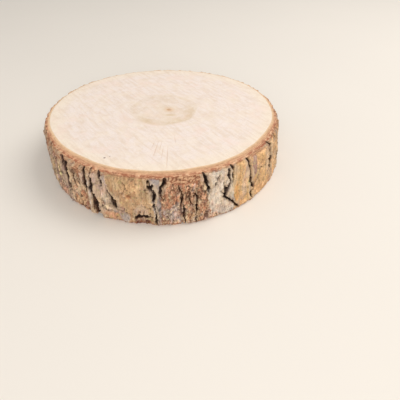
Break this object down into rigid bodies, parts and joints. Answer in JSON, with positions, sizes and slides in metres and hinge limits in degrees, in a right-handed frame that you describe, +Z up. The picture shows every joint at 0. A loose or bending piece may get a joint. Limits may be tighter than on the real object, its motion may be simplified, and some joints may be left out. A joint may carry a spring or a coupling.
{
  "type": "wood slice",
  "caption": "Round slice of a tree trunk, sawn across the grain, with flat pale faces and rough furrowed bark round its edge.",
  "frame": {"origin": "middle of the underside, on the surface that the slice rests on", "axes": "+Z up along the grain, square to both sawn faces; +Y towards the side with the thinnest bark, -Y towards the side with the thickest; +X to the right as seen from -Y"},
  "size_m": [0.093, 0.093, 0.018],
  "materials": {
    "wood_in_bark": "pale sawn wood with faint growth rings on both faces, reddish inner bark, and dry furrowed outer bark in grey, tan and ochre plates"
  },
  "bodies": {
    "root": {"wood_slice": "wood_in_bark"}
  },
  "joints": []
}
